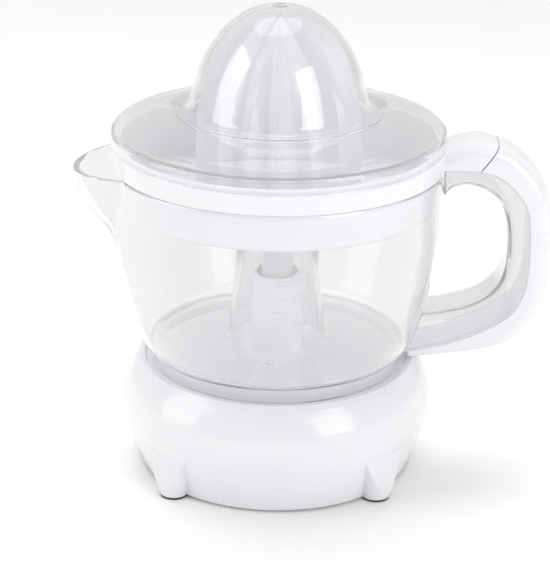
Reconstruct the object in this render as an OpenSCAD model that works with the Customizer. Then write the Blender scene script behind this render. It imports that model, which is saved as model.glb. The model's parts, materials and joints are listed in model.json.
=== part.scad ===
// Citrus press: a clear jug with a strainer, a ribbed reamer and a dust cover, standing on a motor base.
// The vertical axis of the drive is Z, the floor is z = 0, the spout points to -X and the handle to +X.

/* [Overall] */
// Height over everything, from the floor to the top of the dust cover
total_h = 200; // [196:1:206]
// Height of the deck on the base that the jug stands on
deck_z = 47.5; // [47:0.5:49]
// Height of the jug's pouring rim
rim_z = 134; // [133:0.5:136]

/* [Base] */
// Widest radius of the motor base
base_r = 66.8; // [66:0.2:70]
// Height of the widest line of the base
base_belly_z = 30; // [28:1:30]
// Wall thickness of the base
base_wall = 2.4; // [2:0.2:2.6]
// Outer radius of the tower that carries the spindle
tower_r = 11.3; // [11:0.1:11.6]
// Height of the tower's top face
tower_z = 85; // [84:0.5:87]

/* [Jug] */
// Outer radius of the jug at its rim
jug_r = 69.4; // [69:0.2:71]
// Wall thickness of the jug
jug_wall = 2.2; // [1.8:0.2:2.4]
// Outer radius of the skirt that drops into the base
skirt_r = 54; // [53:0.5:54.5]
// Height of the jug's floor
floor_z = 55.4; // [55:0.2:56]
// Distance from the axis to the tip of the spout
spout_reach = 85.5; // [83:0.5:88]
// Outer radius of the hollow column in the middle of the jug
column_r = 17.6; // [17.2:0.2:18]
// Width of the handle
handle_w = 24.4; // [22:0.2:26]

/* [Strainer and reamer] */
// Height of the white ring that shows between jug and cover
ring_h = 8; // [7.5:0.5:8.5]
// Height of the underside of the strainer's floor
strainer_z = 117.5; // [117:0.5:118]
// Number of slots in the strainer's floor
slot_count = 36; // [24:4:40]
// Number of long ribs on the reamer, with a short rib between each two
rib_count = 8; // [6:1:10]

/* [Drive] */
// Teeth of the rotor's pinion
t_pinion = 9; // [9:1:9]
// Teeth of the first wheel and of its pinion
t_first = [45, 12];
// Teeth of the second wheel and of its pinion
t_second = [36, 12];
// Teeth of the output wheel
t_output = 33; // [33:1:33]

/* [Hidden] */
$fn = 96;
fit = 0.05;        // radial running clearance
gap = 0.4;         // clearance between parts of different bodies
eps = 0.01;

// ---- colours
c_white = [0.95, 0.95, 0.96];
c_clear = [0.86, 0.88, 0.90, 0.45];
c_grey = [0.62, 0.63, 0.66];
c_rubber = [0.16, 0.16, 0.17];
c_steel = [0.75, 0.76, 0.78];
c_copper = [0.78, 0.45, 0.25];
c_brass = [0.82, 0.68, 0.36];

// ---- base levels
rim_low_z = 1.2;                          // lower rim of the base and underside of its cover
plate_top_z = 3.4;                        // upper face of the base cover
foot_ring_r = 60;                         // radius on which the four feet stand
foot_r = 5.9;
leg_top_r = 11.6;                         // half width of a leg where it meets the wall
leg_top_z = 20.5;
deck_under_z = deck_z - 2.2;
base_low_arc = 26;                        // radius of the wall below the belly
base_taper = 19;                          // slope of the straight wall below that
base_high_arc = 26;                       // radius of the wall above the belly
lip_z = deck_z + 1.4;                     // lip around the deck
recess_r = skirt_r + 2.2;                 // radius of the recess that holds the jug's skirt

// ---- gear train
m1 = 0.6;
m2 = 0.8;
m3 = 1.0;
a1 = m1 * (t_pinion + t_first[0]) / 2;    // rotor to first wheel
a2 = m2 * (t_first[1] + t_second[0]) / 2; // first to second wheel
a3 = m3 * (t_second[1] + t_output) / 2;   // second wheel to output wheel
rotor_xy = [20, -28];
second_xy = [a3, 0];
// The first wheel lies where the circles of radius a1 round the rotor and a2 round the second wheel cross.
rs = second_xy - rotor_xy;
rs_len = norm(rs);
rs_dir = atan2(rs[1], rs[0]);
first_turn = acos((a1 * a1 + rs_len * rs_len - a2 * a2) / (2 * a1 * rs_len));
first_dir = rs_dir - first_turn;
first_xy = rotor_xy + a1 * [cos(first_dir), sin(first_dir)];
fs = second_xy - first_xy;
second_dir = atan2(fs[1], fs[0]);
z_level1 = 30;                            // pinion and first wheel
z_level2 = 33.9;                          // first pinion and second wheel
z_level3 = 37.8;                          // second pinion and output wheel
gear_h = 3.2;
lower_plate_z = 27;                       // underside of the gearbox's lower plate
lower_plate_h = 2;
upper_plate_z = 41.9;
upper_plate_h = 1.5;
axle_r = 1.5;

// ---- spindle
spindle_r = 6.6;
shaft_r = 5;
hex_r = 4.55;                             // corner radius of the hexagon in the output wheel
spindle_hex_r = 6.4;                      // corner radius of the hexagon in the reamer
spindle_top_z = 138;
shoulder_z = 78;
nose_z = 22;
bush_z = [54, 61];
washer_h = 1;

// ---- motor
core_z = 10;
core_h = 12;
leg_y = [-42.5, -13.5];                   // middle of the two legs of the core
leg_w = 9;
core_x = [-32, 30];
yoke_w = 10;
bobbin_x = [-20, 7];
core_screw_x = [-27, 26.5];
grommet_xy = [[-28, 8], [-38, -36], [42, 9], [43, -38]];
pillar_xy = [[-16, -17], [8, 24.5], [52, -12], [8, -40]];
boss_angles = [20, 160, 200, 340];
boss_ring_r = 52.5;
gland_z = 13;
gland_r = 6;
gland_face_y = 67;                        // outer face of the boss that holds the gland
pad_h = 1.1;                              // height of a foot pad under its foot

// ---- strainer, cover and reamer levels
ring_z = rim_z + 0.2;
ring_top_z = ring_z + ring_h;
cover_z = ring_top_z + 0.1;
dome_z = ring_top_z + 15;                 // foot of the dome
reamer_z = strainer_z + 8;                // foot of the reamer's ribs

// ---------------------------------------------------------------- curves

// Points on an arc around c, from angle a to angle b
function arc(c, r, a, b, n = 8) = [for (i = [0 : n])
    c + r * [cos(a + (b - a) * i / n), sin(a + (b - a) * i / n)]];

// Smooth curve through the given points
function bend(p, q, r, s, t) =
    0.5 * (2 * q + (r - p) * t + (2 * p - 5 * q + 4 * r - s) * t * t + (3 * q - p - 3 * r + s) * t * t * t);
function curve(p, n = 4) = let (last = len(p) - 1) concat(
    [for (i = [0 : last - 1], k = [0 : n - 1])
        bend(p[max(i - 1, 0)], p[i], p[i + 1], p[min(i + 2, last)], k / n)],
    [p[last]]);

// The same curve moved sideways by d, to its left
function side(p, i) = let (t = p[min(i + 1, len(p) - 1)] - p[max(i - 1, 0)]) [-t[1], t[0]] / norm(t);
function beside(p, d) = [for (i = [0 : len(p) - 1]) p[i] + d * side(p, i)];
function backward(p) = [for (i = [len(p) - 1 : -1 : 0]) p[i]];

// Band between two curves
module band(p, q) { polygon(concat(p, backward(q))); }

// Outline in the X-Z plane given a width along Y
module slab(width) { rotate([90, 0, 0]) translate([0, 0, -width / 2]) linear_extrude(width) children(); }

module ring(r_out, r_in, z, h) {
    translate([0, 0, z]) difference() {
        cylinder(r = r_out, h = h);
        translate([0, 0, -1]) cylinder(r = r_in, h = h + 2);
    }
}

module at(xy, z = 0) { translate([xy[0], xy[1], z]) children(); }
module around(angles, r, z = 0) { for (a = angles) rotate(a) translate([r, 0, z]) children(); }

// ---------------------------------------------------------------- gears

function inv(a) = tan(a) * 180 / PI - a;

// Outline of a spur gear: each tooth is four points up one flank and four down the other
function tooth_half(teeth, m, r) = let (rp = teeth * m / 2, rb = rp * cos(20))
    90 / teeth - 0.14 * m / rp * 180 / PI / 2 + inv(20) - (r > rb ? inv(acos(rb / r)) : 0);
module gear_outline(teeth, m, phase) {
    rp = teeth * m / 2;
    radii = [rp - 1.15 * m, max(rp * cos(20), rp - 0.7 * m), rp + 0.1 * m, rp + 0.85 * m];
    polygon([for (i = [0 : teeth - 1], k = [0 : 7])
        let (r = radii[k < 4 ? k : 7 - k],
             a = phase + i * 360 / teeth + (k < 4 ? -1 : 1) * tooth_half(teeth, m, r))
        r * [cos(a), sin(a)]]);
}
module gear(teeth, m, phase, z, h = gear_h) {
    translate([0, 0, z]) linear_extrude(h) gear_outline(teeth, m, phase);
}

// A tooth points at angle a in the wheel, so the wheel it meshes with has a space there
function facing(a, teeth) = a + 180 + 180 / teeth;

// ---------------------------------------------------------------- cover, reamer and strainer

// Outer line of the dust cover, from the foot of its rim to the apex
function dome_points(top) = [
    [40.6, dome_z - 0.2], [37.6, dome_z + 1.6], [36.2, dome_z + 5], [34.6, dome_z + 10.5],
    [31.6, top - 25], [27.4, top - 16.5], [20.6, top - 8], [11, top - 1.9], [0, top]];
function cover_line(top, inset) = concat(
    [[jug_r - inset, cover_z], [jug_r - inset, ring_top_z + 5.6]],
    arc([jug_r - 2.4, ring_top_z + 5.6], 2.4 - inset, 0, 90, 4),
    [[jug_r - 5, ring_top_z + 7.4 - inset], [60, ring_top_z + 8.6 - inset],
        [48, ring_top_z + 12.4 - inset]]);
module dust_cover() {
    wall = 1.8;
    dome = curve(dome_points(total_h), 3);
    inner_dome = [for (p = curve(dome_points(total_h), 3)) [max(p[0] - wall, 0),
        p[1] - wall * (p[1] > dome_z + 30 ? 1 : 0.6)]];
    color(c_clear) union() {
        rotate_extrude() band(concat(cover_line(total_h, 0), dome),
            concat(cover_line(total_h, wall), [for (p = inner_dome) if (p[0] > 0) p],
                [[0, total_h - wall]]));
        // gate mark on the apex
        ring(3, 2, total_h - 1, 0.9);
    }
}

// Ridge line of the reamer, set inwards by d
function ridge(d, top) = concat(
    [[34.5 - d, reamer_z], [34.2 - d, 150], [32.6 - d, 158], [29.8 - d, 169]],
    [[25.4 - d * 0.9, top - 15], [19 - d * 0.8, top - 7.5], [10.5 - d * 0.6, top - 2.2], [0, top]]);
// Half of a rib's outline, from the core out to its ridge
module rib(from, spread, d, top) {
    rotate(from - spread / 2) rotate_extrude(angle = spread)
        polygon(concat([[4, reamer_z]], [for (p = curve(ridge(d, top), 3)) if (p[0] > 4.2) p],
            [[4, top - 1.4]]));
}
module reamer_cone() {
    shell = curve(ridge(5.2, total_h - 9), 3);
    inner = [for (p = shell) [max(p[0] - 2.2, 0), p[1] - (p[0] < 12 ? 2.2 : 1)]];
    color(c_white) difference() {
        union() {
            difference() {
                union() {
                    rotate_extrude() polygon(concat([[0, reamer_z]], shell));
                    translate([0, 0, reamer_z - 2]) cylinder(r = 36, h = 2.6);
                    rotate_extrude() polygon([[0, 180], [5.4, 180], [5.2, total_h - 7.4],
                        [3, total_h - 4.6], [0, total_h - 4]]);
                    for (i = [0 : rib_count - 1]) {
                        rib(-90 + i * 360 / rib_count, 7, 0, total_h - 4.2);
                        rib(-90 + (i + 0.5) * 360 / rib_count, 5, 1.6, total_h - 8);
                    }
                }
                rotate_extrude() polygon(concat([[0, reamer_z - 3], [inner[0][0], reamer_z - 3]], inner));
            }
            // socket for the spindle's hexagon, tied to the shell by webs
            translate([0, 0, reamer_z - 0.5]) cylinder(r = 9.6, h = 30);
            for (i = [0 : 3]) rotate(i * 90 + 45) translate([8, -0.9, reamer_z + 0.6])
                cube([20, 1.8, 22]);
        }
        translate([0, 0, reamer_z - 1]) cylinder(r = spindle_hex_r + 0.35,
            h = spindle_top_z + 1.6 - reamer_z, $fn = 6);
        translate([0, 0, reamer_z - 1]) cylinder(r = 7.4, h = 2.5);
    }
}

module strainer_bowl() {
    bowl_r = jug_r - jug_wall - 0.6;
    corner_r = 5;
    corner = [bowl_r - corner_r, strainer_z + corner_r];
    outer = concat(
        [[jug_r, ring_z], [jug_r, ring_top_z], [66.6, ring_top_z], [66.6, ring_top_z + 1.8],
            [65, ring_top_z + 1.8]],
        [[bowl_r - 2, rim_z - 2]],
        arc(corner, corner_r - 2, 0, -90, 5),
        [[9.2, strainer_z + 2], [9.2, strainer_z + 5], [7.4, strainer_z + 5], [7.4, strainer_z]],
        arc(corner, corner_r, -90, 0, 6),
        [[bowl_r, ring_z]]);
    color(c_white) union() {
        difference() {
            rotate_extrude() polygon(outer);
            // drain slots
            around([for (i = [0 : slot_count - 1]) i * 360 / slot_count], 38, strainer_z - 1)
                translate([0, -0.9, 0]) cube([20, 1.8, 4]);
        }
        // collar that centres the strainer in the jug's column
        ring(column_r - jug_wall - gap, column_r - jug_wall - gap - 1.8, strainer_z - 4, 4.5);
        // tab over the root of the handle
        difference() {
            slab(handle_w) polygon(concat(
                [[jug_r - 2, ring_z], [tab_joint[0][0], ring_z]],
                curve([tab_joint[1], [86, 145.5], [81.5, 145.9], [76, 144.8],
                    [jug_r + 0.6, ring_top_z]], 3),
                [[jug_r - 2, ring_top_z]]));
            slab(handle_w - 4.4) polygon([[jug_r + 1, ring_z - 1], [80.6, ring_z - 1],
                [85.4, ring_top_z - 2], [jug_r + 1, ring_top_z - 2]]);
            translate([0, 0, ring_z - 1]) cylinder(r = jug_r - 1, h = ring_h + 4);
        }
    }
}

// ---------------------------------------------------------------- jug and handle

function jug_line() = concat(
    [[skirt_r, deck_z], [skirt_r, floor_z - 2.2], [skirt_r + 0.6, floor_z - 0.8]],
    curve([[56.8, floor_z + 0.6], [59.8, 63.2], [63.2, 74], [66.5, 88], [68.8, 103], [jug_r, 114]], 3),
    [[jug_r, rim_z]]);
function column_line() = concat(
    [[24.5, floor_z]], arc([24.5, floor_z + 4], 4, 270, 180, 4),
    [[19.6, 72], [column_r, 86], [column_r, strainer_z - 1.4]]);

// Curves of the handle, seen from the front: the finger gap, the joint line and the back
function window_curve() = curve([[69.6, 119], [72.2, 125.2], [78, 127.4], [86, 125], [92.6, 118.6],
    [95.6, 108], [96, 96], [94, 86], [89.6, 79], [81, 74.2], [70, 71.2], [60.5, 70]], 3);
function seam_curve() = curve([[68, 133.4], [78, 133.5], [86.4, 132.8], [95, 128], [101.4, 120],
    [104.6, 108], [104.4, 92], [102.4, 78.6], [96.4, 69.4], [87, 63.6], [72, 57.8], [54.4, 53.4]], 3);
function back_curve() = curve([[90.7, 143.9], [98.2, 140.4], [105.2, 134], [110.2, 128], [113, 119.5],
    [114.3, 107], [114.4, 94], [113.3, 79.5], [109.2, 67.4], [103.6, 60.6], [96.4, 55.8],
    [85, 52.4], [70, 50.6], [55, 49.6]], 3);
// Slanted joint on top of the handle, where the strainer's tab meets the handle cover
tab_joint = [[82.6, 133.6], [90.2, 144]];

// The spout is where its plan, its side view and its front view meet; d sets each of them inwards
spout_foot_z = 100;
function spout_plan(d) = curve([[-58, 31.6 - d], [-64.5, 27.4 - d], [-72, 22.4 - d], [-79, 14.8 - d],
    [-spout_reach + 1.8 + d * 0.7, 7 - 0.8 * d], [-spout_reach + d, 0]], 3);
function spout_under(d) = curve([
    [-66, spout_foot_z + d], [-70.4 + d / 2, 103.6 + d], [-77.2 + d / 2, 111.3 + d],
    [-82.2 + d * 0.8, 119.4 + d], [-spout_reach + 0.5 + d, rim_z - 8], [-spout_reach + d, rim_z + 2]], 3);
function spout_front(d) = curve([[32 - d, rim_z + 2], [28.5 - d, 124], [20 - d, 111.5 + d / 2],
    [10.5, 103 + d], [0, spout_foot_z + d]], 3);
module spout_body(d) {
    plan = spout_plan(d);
    front = spout_front(d);
    intersection() {
        translate([0, 0, spout_foot_z - 1]) linear_extrude(rim_z + 1 - spout_foot_z + (d > 0 ? 2 : 0))
            polygon(concat(plan, backward([for (p = plan) if (p[1] > 0) [p[0], -p[1]]])));
        slab(80) polygon(concat(spout_under(d), [[-58, rim_z + 2], [-58, spout_foot_z + d]]));
        translate([-spout_reach - 1, 0, 0]) rotate([90, 0, 90]) linear_extrude(spout_reach - 50)
            polygon(concat(front, backward([for (p = front) if (p[0] > 0) [-p[0], p[1]]])));
    }
}
module jug() {
    outer = jug_line();
    inner_wall = [for (p = outer) if (p[1] > floor_z) [p[0] - jug_wall, p[1]]];
    column = column_line();
    color(c_clear) union() {
        difference() {
            union() {
                rotate_extrude() polygon(concat([[0, deck_z]], outer, [[0, rim_z]]));
                spout_body(0);
            }
            // room for the juice
            rotate_extrude() polygon(concat(column, [[0, strainer_z - 1.4], [0, rim_z + 1]],
                [[jug_r - jug_wall, rim_z + 1]], backward(inner_wall), [[54.2, floor_z]]));
            intersection() {
                spout_body(jug_wall);
                translate([0, 0, 90]) cylinder(r = 120, h = rim_z - 80);
            }
            // hollow of the column and room under the floor
            rotate_extrude() polygon(concat([[0, deck_z - 1], [skirt_r - 2.4, deck_z - 1],
                [skirt_r - 2.4, floor_z - 2.2]],
                [[25.5, floor_z - 2.2]], arc([25.2, floor_z + 3], 5.2, 270, 180, 4),
                [[17.4, 72], [column_r - jug_wall, 86], [column_r - jug_wall, 160], [0, 160]]));
        }
        // channel of the handle
        difference() {
            slab(handle_w) band(window_curve(), seam_curve());
            slab(handle_w - 4.4) band(beside(window_curve(), 2.4), beside(seam_curve(), 6));
            translate([0, 0, deck_z]) rotate_extrude() polygon(concat([[0, -10]],
                [for (p = outer) [p[0] - 0.8, p[1] - deck_z]], [[0, rim_z - deck_z]]));
        }
    }
}

module handle_cover() {
    seam = beside(seam_curve(), 0.1);
    back = back_curve();
    color(c_white) difference() {
        slab(handle_w) polygon(concat(
            [for (p = seam) if (p[0] > 84 || p[1] < 100) p], backward(back), [tab_joint[0] + [0.5, 0]]));
        slab(handle_w - 4.4) polygon(concat(
            [for (p = beside(seam_curve(), -1)) if ((p[0] > 89 || p[1] < 100) && p[0] > 62) p],
            backward([for (p = beside(back, -2.4)) if ((p[0] > 88 || p[1] < 100) && p[0] > 66) p])));
        translate([0, 0, 40]) cylinder(r = skirt_r + 0.3, h = 14);
    }
}

// ---------------------------------------------------------------- base

rim_r = base_r - base_low_arc * (1 - cos(base_taper))
    - (base_belly_z - base_low_arc * sin(base_taper) - rim_low_z) * tan(base_taper);
function base_line(inset) = concat(
    [[rim_r - inset / cos(base_taper), rim_low_z]],
    arc([base_r - base_low_arc, base_belly_z], base_low_arc - inset, -base_taper, 0, 6),
    arc([base_r - base_high_arc, base_belly_z], base_high_arc - inset, 0,
        asin((lip_z - (inset > 0 ? 3.6 : 0) - base_belly_z) / (base_high_arc - inset)), 8));

module base_housing() {
    color(c_white) difference() {
        union() {
            difference() {
                rotate_extrude() polygon(concat([[0, rim_low_z]], base_line(0),
                    [[recess_r + 0.6, lip_z], [recess_r, lip_z - 0.6], [recess_r, deck_z], [0, deck_z]]));
                rotate_extrude() polygon(concat([[0, rim_low_z - 1],
                    [base_line(base_wall)[0][0], rim_low_z - 1]],
                    base_line(base_wall), [[0, deck_under_z]]));
            }
            // tower for the spindle
            rotate_extrude() polygon([[0, deck_under_z], [13.6, deck_under_z], [13.6, deck_z],
                [tower_r + 0.4, deck_z + 3], [tower_r, tower_z - 3],
                [tower_r - 1.8, tower_z - 0.6], [tower_r - 1.8, tower_z], [0, tower_z]]);
            // feet
            intersection() {
                around([45 : 90 : 315], foot_ring_r, pad_h)
                    cylinder(r1 = foot_r, r2 = leg_top_r, h = leg_top_z - pad_h);
                rotate_extrude() polygon([[foot_ring_r - foot_r - 0.1, pad_h - 1],
                    [foot_ring_r + foot_r + 0.1, pad_h - 1], [foot_ring_r + 6.4, 8],
                    [foot_ring_r + 4.8, leg_top_z + 1], [foot_ring_r + 1, leg_top_z + 1],
                    [foot_ring_r - 3, 9.5], [foot_ring_r - foot_r - 0.1, 9.5]]);
            }
            // posts for the drive unit
            for (p = grommet_xy) at(p, lower_plate_z + 3.3)
                cylinder(r = 4, h = deck_under_z - lower_plate_z - 3);
            // bosses for the base cover
            for (a = boss_angles) rotate(a) {
                translate([boss_ring_r, 0, plate_top_z]) cylinder(r = 4, h = 15);
                translate([boss_ring_r, -1, plate_top_z + 2]) cube([5.6, 2, 13]);
            }
            // boss for the cord gland
            intersection() {
                translate([0, 56.5, gland_z]) rotate([-90, 0, 0])
                    cylinder(r = 9.5, h = gland_face_y - 56.5);
                translate([0, 0, 2]) cylinder(r = 80, h = 40);
            }
        }
        // bore of the tower, for the bushes
        translate([0, 0, deck_under_z - 1]) cylinder(r = shaft_r + 1, h = 30);
        translate([0, 0, bush_z[0]]) cylinder(r = 8, h = 50);
        translate([0, 0, tower_z - 5.6]) cylinder(r = 8.8, h = 10);
        // pilot holes
        for (p = grommet_xy) at(p, lower_plate_z) cylinder(r = 1.2, h = 14, $fn = 32);
        around(boss_angles, boss_ring_r, 0) cylinder(r = 1.2, h = 14, $fn = 32);
        around([45 : 90 : 315], foot_ring_r, 0) cylinder(r = 2, h = 8, $fn = 32);
        // hole for the cord gland
        translate([0, 50, gland_z]) rotate([-90, 0, 0]) cylinder(r = gland_r, h = 30);
    }
}

module base_cover() {
    color(c_white) difference() {
        union() {
            translate([0, 0, rim_low_z]) cylinder(r = base_line(base_wall)[0][0] - 0.4,
                h = plate_top_z - rim_low_z);
            // seat of the microswitch
            translate([-7, 3.4, plate_top_z - eps]) cube([22, 2.4, 14.8]);
            translate([-7, -3.2, plate_top_z - eps]) cube([22, 6.6, 4.4]);
            // post of the terminal block
            translate([-22, 24, plate_top_z - eps]) cube([24, 14, 2.6]);
        }
        around([45 : 90 : 315], foot_ring_r, 0) cylinder(r = foot_r + 1.2, h = 9);
        around(boss_angles, boss_ring_r, 0) cylinder(r = 1.7, h = 9, $fn = 32);
        around(boss_angles, boss_ring_r, 0) cylinder(r = 3.4, h = rim_low_z + 1, $fn = 48);
        // air slots under the motor
        for (i = [0 : 6]) translate([-21 + i * 6, -48, 0]) cube([2.4, 24, 9]);
        for (x = [-3, 11]) translate([x, 0, 15.5]) rotate([-90, 0, 0]) cylinder(r = 0.9, h = 9, $fn = 24);
        translate([-10, 31, plate_top_z - 0.6]) cylinder(r = 1.1, h = 9, $fn = 24);
    }
}

module foot_pads() {
    color(c_rubber) around([45 : 90 : 315], foot_ring_r) {
        cylinder(r = foot_r - 0.3, h = pad_h);
        translate([0, 0, pad_h - eps]) cylinder(r = 1.95, h = 5, $fn = 32);
    }
}

module screw(head_r, head_h, shank_r, length) {
    difference() {
        cylinder(r = head_r, h = head_h, $fn = 32);
        for (a = [0, 90]) rotate(a) translate([-head_r * 0.55, -0.3, -1]) cube([head_r * 1.1, 0.6, 1.6]);
    }
    translate([0, 0, head_h - eps]) cylinder(r = shank_r, h = length, $fn = 32);
}
module cover_screws() {
    color(c_steel) around(boss_angles, boss_ring_r, rim_low_z + 0.2) screw(2.8, 0.8, 1.15, 11);
}

module cord_gland() {
    color(c_rubber) translate([0, 0, gland_z]) rotate([-90, 0, 0]) difference() {
        union() {
            translate([0, 0, gland_face_y + 0.05]) cylinder(r = 8.4, h = 1.7);
            translate([0, 0, 53]) cylinder(r = gland_r - fit, h = gland_face_y - 52.5);
            translate([0, 0, 54.4]) cylinder(r = 7.4, h = 2);
        }
        translate([0, 0, 50]) cylinder(r = 3.3, h = 20);
    }
}

// ---------------------------------------------------------------- spindle

module tower_bush() { color(c_brass) ring(8, shaft_r + fit, bush_z[0], bush_z[1] - bush_z[0]); }
module spindle_bush() { color(c_grey) ring(8.8, spindle_r + fit, tower_z - 5.6, 2.8); }
module spindle_seal() {
    color(c_rubber) rotate_extrude() polygon([[spindle_r + 0.35, tower_z - 2.2], [8.8, tower_z - 2.8],
        [8.8, tower_z - 0.4],
        [7.6, tower_z - 0.4], [spindle_r + 0.35, tower_z - 1.4]]);
}
module drive_spindle() {
    color(c_grey) union() {
        translate([0, 0, 24.4]) difference() {
            cylinder(r = hex_r, h = 24, $fn = 6);
            translate([0, 0, 3.4]) ring(8, 3.3, 0, 1.2);
        }
        translate([0, 0, nose_z]) cylinder(r = 2.4, h = 3, $fn = 48);
        translate([0, 0, 47.6]) cylinder(r = shaft_r, h = shoulder_z - 47);
        translate([0, 0, shoulder_z]) cylinder(r = spindle_r, h = strainer_z - 1 - shoulder_z);
        translate([0, 0, strainer_z - 1.5]) cylinder(r = spindle_hex_r,
            h = spindle_top_z - strainer_z + 1.5 - 1.2, $fn = 6);
        translate([0, 0, spindle_top_z - 1.2 - eps]) cylinder(r = 4.6, h = 1.2);
    }
}
module spindle_clip() { color(c_steel) ring(6, 3.35, 27.9, 1); }
module thrust_washer() { color(c_steel) ring(7.5, shaft_r + fit, bush_z[1] + 0.1, washer_h); }

// Coil of the return spring: rings of points along a helix
spring_r = 6.2;
spring_wire = 0.5;
spring_turns = 6;
spring_low = bush_z[1] + 0.1 + washer_h + spring_wire + 0.05;
spring_high = shoulder_z - spring_wire - 0.1;
module return_spring() {
    sides = 6;
    per_turn = 16;
    n = spring_turns * per_turn;
    points = [for (i = [0 : n], k = [0 : sides - 1])
        let (a = i * 360 / per_turn, b = k * 360 / sides,
             f = min(max((i - per_turn / 2) / (n - per_turn), 0), 1),
             r = spring_r + spring_wire * cos(b),
             z = spring_low + (spring_high - spring_low) * f + spring_wire * sin(b))
        [r * cos(a), r * sin(a), z]];
    faces = concat(
        [[for (k = [0 : sides - 1]) k]],
        [for (i = [0 : n - 1], k = [0 : sides - 1])
            [i * sides + k, (i + 1) * sides + k, (i + 1) * sides + (k + 1) % sides,
                i * sides + (k + 1) % sides]],
        [[for (k = [sides - 1 : -1 : 0]) n * sides + k]]);
    color(c_steel) polyhedron(points, faces, convexity = 10);
}

// ---------------------------------------------------------------- gear train

module output_gear() {
    color(c_white) difference() {
        union() {
            gear(t_output, m3, facing(180, t_output), z_level3, 3.4);
            translate([0, 0, lower_plate_z + lower_plate_h + 0.1]) cylinder(r = 9, h = 4.4);
            translate([0, 0, z_level1]) cylinder(r = 6.6, h = z_level3 - z_level1 + 1);
            translate([0, 0, z_level3 + 1]) cylinder(r = 7.2,
                h = upper_plate_z + upper_plate_h + 0.3 - z_level3 - 1);
        }
        translate([0, 0, 20]) cylinder(r = hex_r + 0.2, h = 30, $fn = 6);
        around([for (i = [0 : 5]) i * 60], 11.4, z_level3 - 1) cylinder(r = 2.4, h = 6, $fn = 32);
    }
}
module compound(wheel, m_wheel, wheel_phase, wheel_z, pinion, m_pinion, pinion_phase, pinion_z) {
    difference() {
        union() {
            gear(wheel, m_wheel, wheel_phase, wheel_z);
            gear(pinion, m_pinion, pinion_phase, pinion_z, gear_h);
            translate([0, 0, wheel_z - 0.5]) cylinder(r = 3.4, h = pinion_z - wheel_z + 1);
        }
        translate([0, 0, wheel_z - 2]) cylinder(r = axle_r + fit, h = 12, $fn = 48);
    }
}
module second_gear() {
    color(c_white) at(second_xy)
        compound(t_second[0], m2, facing(second_dir, t_second[0]), z_level2, t_second[1], m3, 180,
            z_level3);
}
module first_gear() {
    color(c_white) at(first_xy)
        compound(t_first[0], m1, facing(first_dir, t_first[0]), z_level1, t_first[1], m2, second_dir,
            z_level2);
}
module motor_pinion() {
    color(c_brass) at(rotor_xy) difference() {
        gear(t_pinion, m1, first_dir, z_level1 - 0.2, gear_h + 0.4);
        translate([0, 0, z_level1 - 1]) cylinder(r = 1, h = 6, $fn = 32);
    }
}
module gear_axles() {
    color(c_steel) for (p = [first_xy, second_xy])
        at(p, lower_plate_z) cylinder(r = axle_r, h = upper_plate_z + upper_plate_h - lower_plate_z,
            $fn = 48);
}

// Round pads of the gearbox plates
module pads(places, r, z, h) { for (p = places) at(p, z) cylinder(r = r, h = h); }
module holes(places, r) { for (p = places) at(p, lower_plate_z - 9) cylinder(r = r, h = 40, $fn = 48); }
core_screw_xy = [for (x = core_screw_x, y = leg_y) [x, y]];
module gearbox_plate() {
    color(c_grey) difference() {
        union() {
            translate([0, 0, lower_plate_z]) linear_extrude(lower_plate_h)
                polygon([[-40, -41], [-40, -31], [-34, 8], [-28, 14], [6, 31], [12, 30], [42, 15],
                    [48, 9], [57.5, -12],
                    [49, -38], [43, -44], [8, -45.5]]);
            pads(grommet_xy, 6, lower_plate_z, lower_plate_h);
            pads(pillar_xy, 3.5, lower_plate_z + eps, upper_plate_z - lower_plate_z - eps);
            // spacers on the core
            pads(core_screw_xy, 3, core_z + core_h, lower_plate_z - core_z - core_h + eps);
        }
        translate([0, 0, lower_plate_z - 1]) cylinder(r = 6.9, h = 9);
        holes(grommet_xy, 3.15);
        holes([first_xy, second_xy], axle_r);
        holes([rotor_xy], 4);
        holes(core_screw_xy, 1.25);
        pads(pillar_xy, 1.05, upper_plate_z - 9, 12);
        translate([-13, -38, lower_plate_z - 1]) cube([14, 12, 9]);
    }
}
module gearbox_cover() {
    color(c_grey) difference() {
        union() {
            translate([0, 0, upper_plate_z]) linear_extrude(upper_plate_h)
                polygon([[-20, -20], [-19, -8], [4, 28.5], [12, 27.5], [36, 6], [56, -8.5], [56, -15],
                    [36, -32],
                    [11, -44], [5, -44]]);
            pads(pillar_xy, 4.4, upper_plate_z, upper_plate_h);
        }
        translate([0, 0, upper_plate_z - 1]) cylinder(r = 7.2 + fit, h = 4);
        holes([first_xy, second_xy], axle_r);
        holes(pillar_xy, 1.3);
        holes([rotor_xy], 5);
        holes(grommet_xy, 4.8);
    }
}
module gearbox_screws() {
    color(c_steel) for (p = pillar_xy)
        at(p, upper_plate_z + upper_plate_h + 1.2) mirror([0, 0, 1]) screw(2.2, 1.2, 1, 8.5);
}
module mounting_grommets() {
    color(c_rubber) for (p = grommet_xy) at(p, lower_plate_z) difference() {
        union() {
            translate([0, 0, -1.2]) cylinder(r = 5, h = 1.2);
            translate([0, 0, -1.2]) cylinder(r = 3.1, h = 4.4);
            translate([0, 0, lower_plate_h]) cylinder(r = 5, h = 1.2);
        }
        translate([0, 0, -2]) cylinder(r = 1.5, h = 8, $fn = 32);
    }
}
module mounting_screws() {
    color(c_steel) for (p = grommet_xy) at(p, lower_plate_z - 3) screw(3.4, 1.8, 1.15, 12);
}

// ---------------------------------------------------------------- motor

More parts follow.
